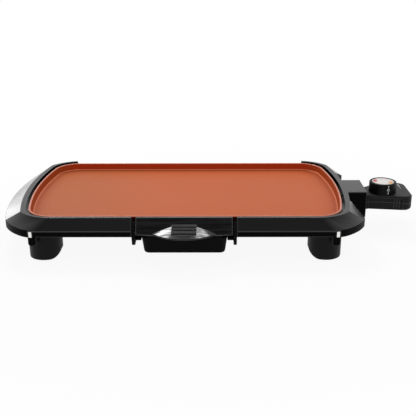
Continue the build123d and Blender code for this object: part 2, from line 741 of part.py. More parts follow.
# Heights and places that tray, fascia and guide share
flange_top = band_bottom - TRAY_TOP_DROP
ledge_top = flange_top - FLANGE_THICK - TRAY_PLAY
ledge_bottom = ledge_top - LEDGE_THICK
rail_top = flange_top + TRAY_PLAY + LIP_THICK
tab_bottom = band_bottom - TAB_DEPTH
tray_front = TRAY_FRONT_BACK - skirt_y
tray_back = tray_front + TRAY_LENGTH
stop_face = tray_back + TRAY_PLAY
guide_end = stop_face + STOP_THICK
web_inner = GAP_HALF - GUIDE_WEB
web_front = GUIDE_RECESS - skirt_y
web_top = RIM_HEIGHT - GUIDE_TOP_DROP
web_top_front = GUIDE_RECESS - ridge_y - SKIRT_FRONT * GUIDE_TOP_DROP / SLOPE_DROP
tab_front = web_front + TAB_LEAN

# Tray guide: two rails with front tabs, joined by a stop at the back
with BuildPart() as tray_guide:
    for start in (web_inner, -GAP_HALF):
        with BuildSketch(across(start)):
            Polygon(
                (tab_front, tab_bottom),
                (web_front, band_bottom),
                (web_front, band_top),
                (web_top_front, web_top),
                (-opening_y, web_top),
                (-opening_y, rail_top),
                (guide_end, rail_top),
                (guide_end, ledge_bottom),
                (tab_front + TAB_LENGTH + TAB_LEAN, ledge_bottom),
                (tab_front + TAB_LENGTH, tab_bottom),
                align=None,
            )
        extrude(amount=GUIDE_WEB)
    for side in (-1, 1):
        inner = side * (web_inner - LEDGE_WIDTH / 2)
        with BuildSketch(level(ledge_bottom)):
            with Locations((inner, (tab_front + guide_end) / 2)):
                Rectangle(LEDGE_WIDTH + GUIDE_WEB / 2, guide_end - tab_front)
        extrude(amount=LEDGE_THICK)
        with BuildSketch(level(rail_top)):
            with Locations((inner, (guide_end - opening_y) / 2)):
                Rectangle(LEDGE_WIDTH + GUIDE_WEB / 2, guide_end + opening_y)
        extrude(amount=-LIP_THICK)
    with BuildSketch(level(ledge_bottom)):
        with Locations((0, stop_face + STOP_THICK / 2)):
            Rectangle(2 * GAP_HALF, STOP_THICK)
    extrude(amount=rail_top - ledge_bottom)
    for side in (-1, 1):
        with BuildSketch(across(side * web_inner)):
            with Locations(*guide_screw_spots):
                Circle(SMALL_HEAD_RADIUS + FIT)
        extrude(amount=side * SMALL_HEAD, mode=Mode.SUBTRACT)
        with BuildSketch(across(side * web_inner)):
            with Locations(*guide_screw_spots):
                Circle(SMALL_SCREW_RADIUS + FIT)
        extrude(amount=side * GUIDE_WEB, mode=Mode.SUBTRACT)
tray_guide.part.label = "tray_guide"
export_step(tray_guide.part, "parts/tray_guide.step")

with BuildPart() as guide_screws:
    for side in (-1, 1):
        with BuildSketch(across(side * web_inner)):
            with Locations(*guide_screw_spots):
                Circle(SMALL_HEAD_RADIUS)
        extrude(amount=side * SMALL_HEAD)
        with BuildSketch(across(side * web_inner)):
            with Locations(*guide_screw_spots):
                Circle(SMALL_SCREW_RADIUS)
        extrude(amount=side * (GUIDE_WEB + 2 * FRAME_WALL))
        with BuildSketch(across(side * web_inner)):
            with Locations(*guide_screw_spots):
                add(cross_recess())
        extrude(amount=side * DRIVE_DEPTH, mode=Mode.SUBTRACT)
guide_screws.part.label = "guide_screws"
export_step(guide_screws.part, "parts/guide_screws.step")

# Drip tray: a leaning pan with side flanges and an upstand that carries its front
flange_in = TRAY_HALF - TRAY_WALL / 2
flange_out = web_inner - TRAY_PLAY
flange_front = tab_front + TRAY_ROUND
flange_back = tray_back - TRAY_ROUND
fascia_screw_height = flange_top + UPSTAND_HEIGHT - FASCIA_SCREW_DROP
fascia_screw_spots = [(-FASCIA_POST_X, fascia_screw_height), (FASCIA_POST_X, fascia_screw_height)]


def pan_form(wall):
    """Outer form of the pan, or its inside when drawn in by a wall."""
    with BuildPart() as form:
        with BuildSketch(level(flange_top)):
            with Locations((0, (tray_front + tray_back) / 2)):
                RectangleRounded(2 * (TRAY_HALF - wall), TRAY_LENGTH - 2 * wall, TRAY_ROUND - wall)
        extrude(amount=wall - TRAY_HEIGHT, taper=TRAY_LEAN)
        fillet(form.edges().group_by(Axis.Z)[0], TRAY_BOTTOM_ROUND - wall)
    return form.part


with BuildPart() as drip_tray:
    add(pan_form(0))
    add(pan_form(TRAY_WALL), mode=Mode.SUBTRACT)
    with BuildSketch(level(flange_top)):
        for side in (-1, 1):
            with Locations((side * (flange_in + flange_out) / 2, (flange_front + flange_back) / 2)):
                Rectangle(flange_out - flange_in, flange_back - flange_front)
    extrude(amount=-FLANGE_THICK)
    with BuildSketch(facing(tray_front)):
        with Locations((0, flange_top + UPSTAND_HEIGHT / 2 - FLANGE_THICK / 2)):
            Rectangle(2 * UPSTAND_HALF, UPSTAND_HEIGHT + FLANGE_THICK)
        with Locations(*fascia_screw_spots):
            Circle(SMALL_SCREW_RADIUS + FIT, mode=Mode.SUBTRACT)
    extrude(amount=-TRAY_WALL)
drip_tray.part.label = "drip_tray"
export_step(drip_tray.part, "parts/drip_tray.step")

# Tray front: the frame's slope carried across, with a scooped lip round a vertical axis
fascia_half = web_inner - FASCIA_SIDE_GAP
fascia_back = -plate_front - FASCIA_BACK_GAP
fascia_low = lip_height - LIP_EDGE
lip_axis_y = LIP_RADIUS - front_reach
lip_inner = -ridge_y + SKIRT_FRONT
lip_run = front_reach + lip_inner
slope_fall = SLOPE_DROP / SKIRT_FRONT
slope_lean = sqrt(1 + slope_fall**2)


def fascia_form(wall):
    """Outer form of the tray front, or its hollow when drawn in by a wall."""
    drop = wall * sqrt(1 + LIP_SLOPE**2)
    lip_top = lip_height + LIP_SLOPE * wall - drop
    low = fascia_low - wall
    back = fascia_back + wall
    top = RIM_HEIGHT - wall
    slope_top = wall * (slope_lean - 1) / slope_fall - ridge_y
    slope_foot = (wall * slope_lean + low - RIM_HEIGHT) / slope_fall - ridge_y
    with BuildPart() as form:
        with BuildSketch(across(wall - fascia_half)):
            Polygon((back, top), (slope_top, top), (slope_foot, low), (back, low), align=None)
        extrude(amount=2 * (fascia_half - wall))
        with BuildSketch(level(low)):
            with Locations((0, CRESCENT_RADIUS - skirt_y - CRESCENT_REACH)):
                Circle(CRESCENT_RADIUS - wall)
        extrude(amount=RIM_HEIGHT, mode=Mode.INTERSECT)
    with BuildPart() as lip:
        with BuildSketch(across(0)):
            Polygon(
                (-front_reach + wall, low),
                (-front_reach + wall, lip_top),
                (lip_inner, lip_top + LIP_SLOPE * (lip_run - wall)),
                (lip_inner, low),
                align=None,
            )
        revolve(axis=Axis((centre_x, centre_y + lip_axis_y, 0), (0, 0, 1)))
        with BuildSketch(level(low)):
            with Locations((0, (back - 2 * front_reach) / 2)):
                Rectangle(2 * (fascia_half - wall), back + 2 * front_reach)
        extrude(amount=RIM_HEIGHT, mode=Mode.INTERSECT)
    with BuildPart() as whole:
        add(form.part)
        add(lip.part)
    return whole.part


with BuildPart() as fascia_hollow:
    add(fascia_form(FASCIA_WALL))
    with BuildSketch(facing(0)):
        with Locations(*fascia_screw_spots):
            Circle(FASCIA_POST)
    extrude(amount=2 * front_reach, mode=Mode.SUBTRACT)

grip_y = GRIP_INSET - front_reach
grip_height = lip_height + LIP_SLOPE * GRIP_INSET
grip_plane = Plane((centre_x, centre_y + grip_y, grip_height), x_dir=(1, 0, 0), z_dir=(0, -LIP_SLOPE, 1))
with BuildPart() as tray_front_cover:
    add(fascia_form(0))
    add(fascia_hollow.part, mode=Mode.SUBTRACT)
    with BuildSketch(facing(tray_front)):
        with Locations((0, flange_top)):
            Rectangle(2 * (UPSTAND_HALF + FASCIA_SIDE_GAP), 2 * (UPSTAND_HEIGHT + FASCIA_SIDE_GAP))
    extrude(amount=-front_reach, mode=Mode.SUBTRACT)
    with BuildSketch(grip_plane.offset(-GRIP_PAD)):
        RectangleRounded(GRIP_LENGTH, GRIP_COUNT * GRIP_PITCH, GRIP_ROUND)
    extrude(amount=GRIP_PAD)
    with BuildSketch(grip_plane):
        with GridLocations(0, GRIP_PITCH, 1, GRIP_COUNT):
            RectangleRounded(GRIP_LENGTH, GRIP_WIDTH, GRIP_ROUND)
    extrude(amount=GRIP_HEIGHT)
    with BuildSketch(facing(tray_front)):
        with Locations(*fascia_screw_spots):
            Circle(SMALL_SCREW_RADIUS + FIT)
    extrude(amount=SCREW_GRIP + SCREW_TIP, mode=Mode.SUBTRACT)
tray_front_cover.part.label = "tray_front"
export_step(tray_front_cover.part, "parts/tray_front.step")

with BuildPart() as tray_front_screws:
    with BuildSketch(facing(tray_front + TRAY_WALL)):
        with Locations(*fascia_screw_spots):
            Circle(SMALL_HEAD_RADIUS)
    extrude(amount=-SMALL_HEAD)
    with BuildSketch(facing(tray_front + TRAY_WALL)):
        with Locations(*fascia_screw_spots):
            Circle(SMALL_SCREW_RADIUS)
    extrude(amount=TRAY_WALL + SCREW_GRIP)
    with BuildSketch(facing(tray_front + TRAY_WALL + SMALL_HEAD)):
        with Locations(*fascia_screw_spots):
            add(cross_recess())
    extrude(amount=DRIVE_DEPTH, mode=Mode.SUBTRACT)
tray_front_screws.part.label = "tray_front_screws"
export_step(tray_front_screws.part, "parts/tray_front_screws.step")

# Plug-in control: outline of its flared case, seen from above
nose_face = hood_end - NOSE_INSIDE
knob_x = hood_end + KNOB_X
gland_x = hood_end + GLAND_X
nose_top = case_top - NOSE_DROP
case_points = [
    (hood_end, -NOSE_HALF),
    (hood_end + CASE_FLARE, -CASE_FRONT),
    (case_end, -CASE_FRONT),
    (case_end, CASE_BACK),
    (hood_end + CASE_SHOULDER, CASE_BACK),
    (hood_end, NOSE_HALF),
]
front_slant = (CASE_FRONT - NOSE_HALF) / CASE_FLARE
recess_ends = [hood_end + RECESS_START, hood_end + RECESS_START + RECESS_LENGTH]
case_post_spots = [
    (hood_end + CASE_POST_NEAR, NOSE_HALF - CASE_POST_IN),
    (case_end - CASE_POST_IN, CASE_POST_IN - CASE_FRONT),
    (case_end - CASE_POST_IN, CASE_BACK - CASE_POST_IN),
]


def case_outline():
    """Case seen from above, without its nose."""
    with BuildSketch() as outline:
        Polygon(*case_points, align=None)
        outer_corners = outline.vertices().group_by(Axis.X)[-1]
        fillet(outer_corners, CASE_ROUND)
        shoulder = outline.vertices().sort_by_distance((hood_end + CASE_SHOULDER, CASE_BACK))[0]
        fillet(shoulder, CASE_BLEND)
    return outline.sketch


def recess_outline(grow):
    """Finger recess along the slanted front, grown by a wall."""
    with BuildSketch() as outline:
        points = []
        for x in (recess_ends[0] - grow, recess_ends[1] + grow):
            points.append((x, grow + RECESS_DEPTH - NOSE_HALF - (x - hood_end) * front_slant))
        Polygon(*points, (points[1][0], -2 * CASE_FRONT), (points[0][0], -2 * CASE_FRONT), align=None)
    return outline.sketch


with BuildPart() as case_form:
    with BuildSketch(level(case_bottom)):
        add(case_outline())
    extrude(amount=CASE_HEIGHT)
    fillet(case_form.edges().group_by(Axis.Z)[-1], CASE_EDGE)
    fillet(case_form.edges().group_by(Axis.Z)[0], CASE_BOTTOM_EDGE)
    with BuildSketch(level(case_bottom)):
        add(recess_outline(0))
    extrude(amount=CASE_HEIGHT - RECESS_TOP, mode=Mode.SUBTRACT)
    with BuildSketch(level(case_bottom + CASE_BOTTOM_EDGE)):
        for number in range(GRIP_RIBS):
            rib_x = recess_ends[1] - (number + 1) * GRIP_RIB_PITCH
            rib_y = RECESS_DEPTH - NOSE_HALF - (rib_x - hood_end) * front_slant
            with Locations((rib_x, rib_y)):
                Rectangle(GRIP_RIB_WIDTH, RECESS_DEPTH)
    extrude(amount=CASE_HEIGHT - RECESS_TOP - CASE_BOTTOM_EDGE)
    with BuildSketch(across(nose_face)) as nose_section:
        with Locations((0, (case_bottom + nose_top) / 2)):
            Rectangle(2 * NOSE_HALF, nose_top - case_bottom)
        fillet(nose_section.vertices(), CASE_EDGE)
    extrude(amount=NOSE_INSIDE + RECESS_START)

with BuildPart() as case_hollow:
    with BuildSketch(level(case_bottom + CASE_WALL)):
        add(case_outline())
        offset(amount=-CASE_WALL)
        add(recess_outline(CASE_WALL), mode=Mode.SUBTRACT)
    extrude(amount=CASE_HEIGHT - 2 * CASE_WALL)
    with BuildSketch(across(nose_face + CASE_WALL)):
        with Locations((0, (case_bottom + nose_top) / 2)):
            Rectangle(2 * (NOSE_HALF - CASE_WALL), nose_top - case_bottom - 2 * CASE_WALL)
    extrude(amount=NOSE_INSIDE)
    with BuildSketch(level(case_bottom)):
        with Locations(*case_post_spots):
            Circle(POST_INSIDE)
    extrude(amount=CASE_HEIGHT, mode=Mode.SUBTRACT)
    with BuildSketch(across(nose_face)):
        with Locations(*pin_spots):
            Circle(PIN_RADIUS + 2 * SLEEVE_FREE)
        with Locations((0, plug_height)):
            Circle(ROD_RADIUS + FIT)
    extrude(amount=CASE_WALL)
    with BuildSketch(facing(CASE_BACK)):
        with Locations((gland_x, case_split)):
            Circle(GLAND_RADIUS + FIT)
    extrude(amount=2 * CASE_WALL)
    with BuildSketch(level(case_bottom)):
        with Locations(*case_post_spots):
            Circle(SMALL_HEAD_RADIUS + FIT)
    extrude(amount=CASE_WALL)
    with BuildSketch(level(case_bottom)):
        with Locations(*case_post_spots):
            Circle(SMALL_SCREW_RADIUS + FIT)
    extrude(amount=case_split - case_bottom + SCREW_GRIP + SCREW_TIP)
    with BuildSketch(level(case_split)):
        with Locations((knob_x, 0)):
            Circle(SPINDLE_RADIUS + SPINDLE_FREE)
    extrude(amount=CASE_HEIGHT)

with BuildPart() as control_lower_case:
    add(case_form.part)
    add(case_hollow.part, mode=Mode.SUBTRACT)
    split(bisect_by=level(case_split), keep=Keep.BOTTOM)
control_lower_case.part.label = "control_lower_case"
export_step(control_lower_case.part, "parts/control_lower_case.step")

with BuildPart() as control_upper_case:
    add(case_form.part)
    add(case_hollow.part, mode=Mode.SUBTRACT)
    split(bisect_by=level(case_split), keep=Keep.TOP)
control_upper_case.part.label = "control_upper_case"
export_step(control_upper_case.part, "parts/control_upper_case.step")

with BuildPart() as case_screws:
    with BuildSketch(level(case_bottom)):
        with Locations(*case_post_spots):
            Circle(SMALL_HEAD_RADIUS)
    extrude(amount=CASE_WALL)
    with BuildSketch(level(case_bottom)):
        with Locations(*case_post_spots):
            Circle(SMALL_SCREW_RADIUS)
    extrude(amount=case_split - case_bottom + SCREW_GRIP)
    with BuildSketch(level(case_bottom)):
        with Locations(*case_post_spots):
            add(cross_recess())
    extrude(amount=DRIVE_DEPTH, mode=Mode.SUBTRACT)
case_screws.part.label = "case_screws"
export_step(case_screws.part, "parts/case_screws.step")

# Sensing rod with its collar, and the sleeves that take the pins
inner_face = nose_face + CASE_WALL
with BuildPart() as sensing_rod:
    with BuildSketch(across(rod_tip)):
        with Locations((0, plug_height)):
            Circle(ROD_RADIUS)
    extrude(amount=ROD_REACH + ROD_INSIDE)
    fillet(sensing_rod.edges().group_by(Axis.X)[0], ROD_RADIUS * 0.6)
sensing_rod.part.label = "sensing_rod"
export_step(sensing_rod.part, "parts/sensing_rod.step")

with BuildPart() as rod_collar:
    with BuildSketch(across(inner_face)):
        with Locations((0, plug_height)):
            RegularPolygon(COLLAR_RADIUS, 6)
            Circle(ROD_RADIUS + FIT, mode=Mode.SUBTRACT)
    extrude(amount=COLLAR_THICK)
rod_collar.part.label = "rod_collar"
export_step(rod_collar.part, "parts/rod_collar.step")

with BuildPart() as contact_sleeves:
    with BuildSketch(across(inner_face)):
        with Locations(*pin_spots):
            Circle(SLEEVE_RADIUS)
            Circle(PIN_RADIUS + SLEEVE_FREE, mode=Mode.SUBTRACT)
    extrude(amount=SLEEVE_LENGTH)
contact_sleeves.part.label = "contact_sleeves"
export_step(contact_sleeves.part, "parts/contact_sleeves.step")

# Thermostat: a bracket on the rod's collar carries two blades between ceramic spacers
bracket_face = inner_face + COLLAR_THICK
bracket_low = case_bottom + CASE_WALL + BRACKET_RISE
stack_x = inner_face + ROD_INSIDE + STACK_RADIUS
stack_low = bracket_low + BRACKET_THICK
blade_gap = STACK_HEIGHT + BLADE_THICK
fixed_blade_low = stack_low + STACK_HEIGHT
moving_blade_low = fixed_blade_low + blade_gap
blade_start = stack_x - STACK_RADIUS
contact_x = blade_start + BLADE_LENGTH - CONTACT_RADIUS * 2
contact_height = (STACK_HEIGHT - CONTACT_OPEN) / 2
with BuildPart() as thermostat_bracket:
    with BuildSketch(across(bracket_face)):
        with Locations((0, (bracket_low + plug_height + COLLAR_RADIUS) / 2)):
            Rectangle(BRACKET_WIDTH, plug_height + COLLAR_RADIUS - bracket_low)
        with Locations((0, plug_height)):
            Circle(ROD_RADIUS + FIT, mode=Mode.SUBTRACT)
    extrude(amount=BRACKET_THICK)
    with BuildSketch(level(bracket_low)):
        with Locations(((bracket_face + stack_x + STACK_RADIUS) / 2, 0)):
            Rectangle(stack_x + STACK_RADIUS - bracket_face, BRACKET_WIDTH)
    extrude(amount=BRACKET_THICK)
thermostat_bracket.part.label = "thermostat_bracket"
export_step(thermostat_bracket.part, "parts/thermostat_bracket.step")

with BuildPart() as ceramic_spacers:
    for low in (stack_low, fixed_blade_low + BLADE_THICK, moving_blade_low + BLADE_THICK):
        with BuildSketch(level(low)):
            with Locations((stack_x, 0)):
                Circle(STACK_RADIUS)
        extrude(amount=STACK_HEIGHT)
ceramic_spacers.part.label = "ceramic_spacers"
export_step(ceramic_spacers.part, "parts/ceramic_spacers.step")


def contact_blade(low, contact_low):
    """A spring blade with its contact rivet."""
    with BuildPart() as blade:
        with BuildSketch(level(low)):
            with Locations((blade_start + BLADE_LENGTH / 2, 0)):
                SlotOverall(BLADE_LENGTH, BLADE_WIDTH)
        extrude(amount=BLADE_THICK)
        with BuildSketch(level(contact_low)):
            with Locations((contact_x, 0)):
                Circle(CONTACT_RADIUS)
        extrude(amount=contact_height)
    return blade.part


with BuildPart() as fixed_contact_blade:
    add(contact_blade(fixed_blade_low, fixed_blade_low + BLADE_THICK))
fixed_contact_blade.part.label = "fixed_contact_blade"
export_step(fixed_contact_blade.part, "parts/fixed_contact_blade.step")

with BuildPart() as moving_contact_blade:
    add(contact_blade(moving_blade_low, moving_blade_low - contact_height))
moving_contact_blade.part.label = "moving_contact_blade"
export_step(moving_contact_blade.part, "parts/moving_contact_blade.step")

# Cord gland in the back wall of the control
with BuildPart() as cord_gland:
    with BuildSketch(facing(CASE_BACK + GLAND_SHOWS)):
        with Locations((gland_x, case_split)):
            Circle(GLAND_RADIUS)
    extrude(amount=GLAND_SHOWS + GLAND_INSIDE)
    with BuildSketch(facing(CASE_BACK - CASE_WALL)):
        with Locations((gland_x, case_split)):
            Circle(GLAND_FLANGE)
    extrude(amount=GLAND_FLANGE_THICK)
    with BuildSketch(facing(CASE_BACK + GLAND_SHOWS)):
        with Locations((gland_x, case_split)):
            Circle(GLAND_BORE)
    extrude(amount=GLAND_SHOWS + GLAND_INSIDE, mode=Mode.SUBTRACT)
    fillet(cord_gland.faces().sort_by(Axis.Y)[-1].outer_wire().edges(), GLAND_EDGE)
cord_gland.part.label = "cord_gland"
export_step(cord_gland.part, "parts/cord_gland.step")

# Knob with its dial disc and spindle
knob_low = case_top + KNOB_GAP
knob_top = knob_low + KNOB_HEIGHT
hub_top = knob_top - DIAL_SUNK - KNOB_WALL
with BuildPart() as temperature_knob:
    with BuildSketch(level(knob_low)):
        with Locations((knob_x, 0)):
            Circle(KNOB_RADIUS)
    extrude(amount=KNOB_HEIGHT, taper=KNOB_TAPER)
    fillet(temperature_knob.edges().group_by(Axis.Z)[-1], KNOB_EDGE)
    with BuildSketch(level(knob_top)):
        with Locations((knob_x, 0)):
            Circle(DIAL_RADIUS + FIT)
    extrude(amount=-DIAL_SUNK, mode=Mode.SUBTRACT)
    with BuildSketch(level(knob_low)):
        with Locations((knob_x, 0)):
            Circle(KNOB_RADIUS - KNOB_WALL)
            Circle(HUB_RADIUS, mode=Mode.SUBTRACT)
    extrude(amount=hub_top - knob_low, taper=KNOB_TAPER, mode=Mode.SUBTRACT)
    with BuildSketch(level(knob_low)):
        with Locations((knob_x, 0)):
            Circle(SPINDLE_RADIUS + FIT)
    extrude(amount=hub_top - knob_low, mode=Mode.SUBTRACT)
temperature_knob.part.label = "temperature_knob"
export_step(temperature_knob.part, "parts/temperature_knob.step")

with BuildPart() as dial_disc:
    with BuildSketch(level(knob_top - DIAL_SUNK)):
        with Locations((knob_x, 0)):
            Circle(DIAL_RADIUS)
    extrude(amount=DIAL_THICK)
dial_disc.part.label = "dial_disc"
export_step(dial_disc.part, "parts/dial_disc.step")

spindle_low = moving_blade_low + BLADE_THICK + SPINDLE_FREE
with BuildPart() as knob_spindle:
    with BuildSketch(level(spindle_low)):
        with Locations((knob_x, 0)):
            Circle(SPINDLE_RADIUS)
    extrude(amount=hub_top - FIT - spindle_low)
    with BuildSketch(level(case_top - CASE_WALL - SPINDLE_FREE)):
        with Locations((knob_x, 0)):
            Circle(SPINDLE_COLLAR)
    extrude(amount=-COLLAR_HEIGHT)
knob_spindle.part.label = "knob_spindle"
export_step(knob_spindle.part, "parts/knob_spindle.step")
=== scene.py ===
import math

import bmesh
import bpy
from mathutils import Matrix, Vector


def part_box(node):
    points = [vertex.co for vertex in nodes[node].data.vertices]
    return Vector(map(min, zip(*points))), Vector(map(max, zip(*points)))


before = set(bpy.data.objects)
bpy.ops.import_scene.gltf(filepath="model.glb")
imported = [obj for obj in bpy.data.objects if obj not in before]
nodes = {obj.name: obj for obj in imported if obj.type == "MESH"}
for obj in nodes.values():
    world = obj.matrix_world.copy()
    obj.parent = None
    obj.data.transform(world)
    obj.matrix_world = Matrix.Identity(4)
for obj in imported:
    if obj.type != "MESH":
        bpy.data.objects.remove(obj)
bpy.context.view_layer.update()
scene = bpy.context.scene
scene.view_settings.view_transform = "Standard"

# Camera fitted to the photograph
PHOTO_SIZE = 416
FOCAL_PIXELS = 733.0
EYE = Vector((-0.00105, -1.2016, 0.481))
PITCH = math.radians(20.3)
YAW = math.radians(-0.25)
ROLL = math.radians(0.16)


class Tone:
    """A node socket that works in expressions: each operator adds its Math node."""

    def __init__(self, socket):
        self.socket = socket

    def node(self, kind, settings=None, inputs=None, output=0):
        """Adds any node: its settings come first, then the values or links of its sockets."""
        tree = self.socket.id_data
        made = tree.nodes.new(kind)
        for name, value in (settings or {}).items():
            setattr(made, name, value)
        for name, value in (inputs or {}).items():
            if isinstance(value, Tone):
                tree.links.new(value.socket, made.inputs[name])
            else:
                made.inputs[name].default_value = value
        return Tone(made.outputs[output])

    def math(self, operation, first, second=0.0):
        return self.node("ShaderNodeMath", {"operation": operation}, {0: first, 1: second})

    def __add__(self, other):
        return self.math("ADD", self, other)

    def __radd__(self, other):
        return self.math("ADD", other, self)

    def __sub__(self, other):
        return self.math("SUBTRACT", self, other)

    def __rsub__(self, other):
        return self.math("SUBTRACT", other, self)

    def __mul__(self, other):
        return self.math("MULTIPLY", self, other)

    def __rmul__(self, other):
        return self.math("MULTIPLY", other, self)

    def __truediv__(self, other):
        return self.math("DIVIDE", self, other)

    def __rtruediv__(self, other):
        return self.math("DIVIDE", other, self)

    def __pow__(self, other):
        return self.math("POWER", self, other)

    def __abs__(self):
        return self.math("ABSOLUTE", self)

    def above(self, limit):
        return self.math("GREATER_THAN", self, limit)

    def below(self, limit):
        return self.math("LESS_THAN", self, limit)

    def most(self, other):
        return self.math("MAXIMUM", self, other)

    def ease(self, low, high):
        """0 under low and 1 over high, with a smooth step between."""
        return self.node(
            "ShaderNodeMapRange",
            {"interpolation_type": "SMOOTHSTEP"},
            {"Value": self, "From Min": low, "From Max": high},
        )

    def tint(self, first, second):
        """Colour that goes from first to second as this value goes from 0 to 1."""
        return self.node("ShaderNodeMix", {"data_type": "RGBA"}, {0: self, 6: first, 7: second}, 2)

    def axis(self, letter):
        return self.node("ShaderNodeSeparateXYZ", None, {0: self}, "XYZ".index(letter))


def grey(value):
    return (value, value, value, 1.0)


class Finish:
    """A material with one Principled shader, and the places that its patterns are drawn from."""

    def __init__(self, name, **constants):
        self.material = bpy.data.materials.new(name)
        self.material.use_nodes = True
        self.tree = self.material.node_tree
        self.shader = self.tree.nodes["Principled BSDF"]
        start = Tone(self.shader.outputs[0])
        self.place = start.node("ShaderNodeTexCoord", None, None, "Object")
        self.face = start.node("ShaderNodeNewGeometry", None, None, "Normal")
        self.up = self.face.axis("Z")
        for name, value in constants.items():
            self.shader.inputs[name.replace("_", " ")].default_value = value

    def noise(self, scale, detail=2.0, roughness=0.5, place=None):
        return self.place.node(
            "ShaderNodeTexNoise",
            None,
            {"Vector": place or self.place, "Scale": scale, "Detail": detail, "Roughness": roughness},
        )

    def cells(self, scale):
        return self.place.node("ShaderNodeTexVoronoi", None, {"Vector": self.place, "Scale": scale})

    def edges(self, reach):
        """1 along sharp edges, falling to 0 on open faces a reach away."""
        rounded = self.face.node("ShaderNodeBevel", {"samples": 6}, {"Radius": reach})
        same = self.face.node(
            "ShaderNodeVectorMath", {"operation": "DOT_PRODUCT"}, {0: rounded, 1: self.face}, "Value"
        )
        return 1 - same.ease(0.88, 0.99)

    def feed(self, **links):
        for name, tone in links.items():
            self.tree.links.new(tone.socket, self.shader.inputs[name.replace("_", " ")])

    def bump(self, height, distance):
        self.feed(Normal=height.node("ShaderNodeBump", None, {"Height": height, "Distance": distance}))


def paint_gloss(made, upright, flat, edge, glint=None, polish=1.0):
    """Black moulding: polished where it leans up, satin on upright faces, darker on upright faces as
    painted shade, and lighter along its edges as wear and a painted highlight.
    """
    cloud = made.noise(9.0, 3.0)
    fine = made.noise(900.0, 2.0)
    dust = made.noise(2600.0, 1.0).ease(0.72, 0.8)
    edge_wear_and_highlight = made.edges(0.0025)
    if glint:
        edge_wear_and_highlight = edge_wear_and_highlight.most(glint)
    sloped = made.up.ease(0.52, 0.88)
    level = made.up.ease(0.93, 0.99)
    shine = upright + (1 - upright) * sloped - (1 - flat) * level
    body = (cloud * 0.4 + dust * 0.3).tint(grey(0.0016), grey(0.008))
    # painted shade: faces that lean less up are darkened
    body = made.up.ease(0.1, 0.5).tint(grey(0.0008), body)
    made.feed(
        # painted highlight over edge wear: the edges and the glint are lightened
        Base_Color=(edge_wear_and_highlight * 0.6).tint(body, grey(edge)),
        Roughness=0.3 + 0.1 * cloud + 0.04 * fine,
        Coat_Weight=(shine * polish).most(edge_wear_and_highlight * 0.5) * (0.94 + 0.12 * cloud),
    )
    return made.noise(70.0, 2.0) * 0.7 + fine * 0.3


clip_low, clip_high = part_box("frame_clips")
GLINT_RISE = 0.0014        # the glint's middle, above the clips
GLINT_HALF = (0.0005, 0.0009)


def frame_black():
    """Frame moulding, with a glint along the edge above the front and back bands."""
    made = Finish("frame_gloss_black", Specular_IOR_Level=0.02, Coat_Roughness=0.18, Coat_IOR=1.5)
    off_middle = abs(made.place.axis("X") - (clip_low.x + clip_high.x) / 2)
    rise = made.place.axis("Z") - (clip_high.z + GLINT_RISE)
    line = off_middle.below((clip_high.x - clip_low.x) / 2) * (1 - abs(rise).ease(*GLINT_HALF))
    glint = line * abs(made.face.axis("Y")).above(0.7)
    ripple = paint_gloss(made, upright=0.03, flat=0.66, edge=0.07, glint=glint)
    made.bump(ripple, 0.00001)
    return made.material


RIB_MIDDLE = 0.02          # the ribbed grip, behind the tray front's foremost edge
RIB_HALF_WIDTH = 0.0114
RIB_HALF_LENGTH = 0.0198
FLOW_SCALE = (18, 220, 220)


def fascia_black():
    """Tray front moulding, with flow lines that break up its gloss and duller grip ribs."""
    made = Finish("fascia_gloss_black", Specular_IOR_Level=0.02, Coat_Roughness=0.1, Coat_IOR=1.5)
    low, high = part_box("tray_front")
    across = abs(made.place.axis("X") - (low.x + high.x) / 2)
    along = abs(made.place.axis("Y") - (low.y + RIB_MIDDLE))
    ribs = across.below(RIB_HALF_LENGTH) * along.below(RIB_HALF_WIDTH)
    drawn = made.place.node(
        "ShaderNodeVectorMath", {"operation": "MULTIPLY"}, {0: made.place, 1: FLOW_SCALE}
    )
    flow = made.noise(1.0, 3.0, place=drawn).ease(0.36, 0.6)
    polish = (0.3 + 0.7 * flow) * (1 - 0.25 * ribs)
    ripple = paint_gloss(made, upright=0.05, flat=1.0, edge=0.14, polish=polish)
    made.bump(ripple * 0.3 + flow * 0.7, 0.00005)
    return made.material


def moulded_matte(name, dark, light, edge, shine, rough, grain_scale, grain):
    """Spark-textured black moulding with an even fine grain, rubbed smoother in places."""
    made = Finish(name, Specular_IOR_Level=shine)
    paint_matte(made, dark, light, edge, rough, grain_scale, grain)
    return made.material


PRINT_WHITE = 0.78


def paint_matte(made, dark, light, edge, rough, grain_scale, grain, print_mask=None):
    """Grain, rubbed patches and lighter edges of a matte moulding, the edges lightened as wear and a
    painted highlight, the upright faces darkened as painted shade.
    """
    cells = made.cells(grain_scale)
    cloud = made.noise(14.0, 3.0)
    rub = made.noise(60.0, 4.0, 0.65).ease(0.55, 0.8)
    edge_wear_and_highlight = made.edges(0.0015)
    body = (cells * 0.45 + cloud * 0.3).tint(grey(dark), grey(light))
    # painted shade: upright faces are darkened
    body = made.up.ease(0.1, 0.6).tint(grey(dark * 0.4), body)
    # painted highlight over edge wear: the edges are lightened
    body = (edge_wear_and_highlight * 0.6).tint(body, grey(edge))
    if print_mask:
        body = print_mask.tint(body, grey(PRINT_WHITE))
    made.feed(Base_Color=body, Roughness=rough - 0.1 * rub + 0.06 * cells - 0.08 * edge_wear_and_highlight)
    made.bump(cells * 0.7 + made.noise(grain_scale * 2, 1.0) * 0.3, grain)


